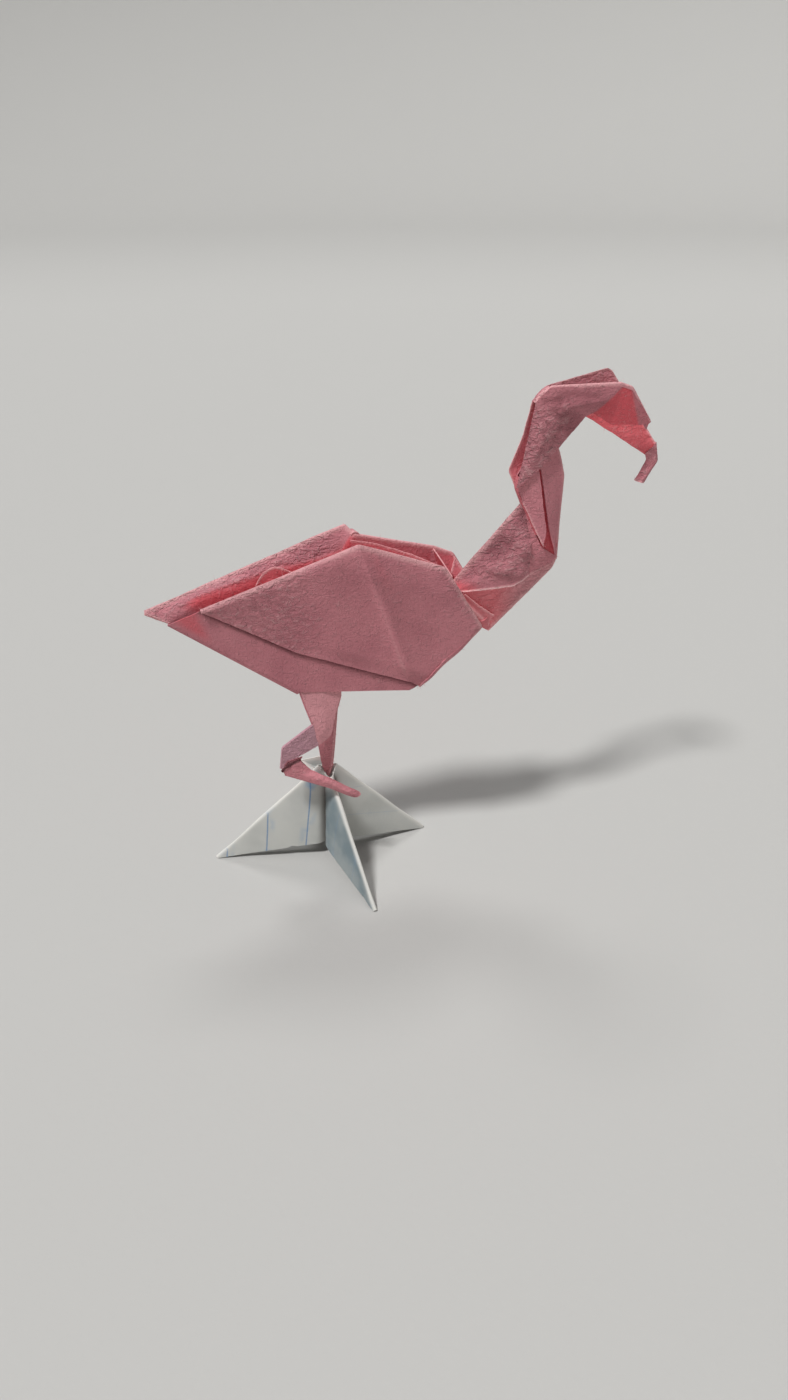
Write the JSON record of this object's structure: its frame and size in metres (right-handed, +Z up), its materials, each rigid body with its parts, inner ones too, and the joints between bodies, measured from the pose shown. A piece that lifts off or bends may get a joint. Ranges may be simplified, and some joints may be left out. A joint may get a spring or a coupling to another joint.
{
  "type": "folded paper flamingo",
  "caption": "Folded paper flamingo with a raised bent leg, standing on its straight leg in the socket of a finned stand folded from ruled paper.",
  "frame": {"origin": "middle of the whole part's footprint, on the surface it stands on", "axes": "+X from the tail to the beak, +Y from the bird's right side to its left, +Z up"},
  "size_m": [0.0816, 0.0374, 0.0814],
  "materials": {
    "pink_paper": "matte fibrous pink paper with soft worn folds",
    "ruled_paper": "matte white writing paper with thin pale blue rules"
  },
  "bodies": {
    "root": {"flamingo": "pink_paper", "stand": "ruled_paper"}
  },
  "joints": []
}
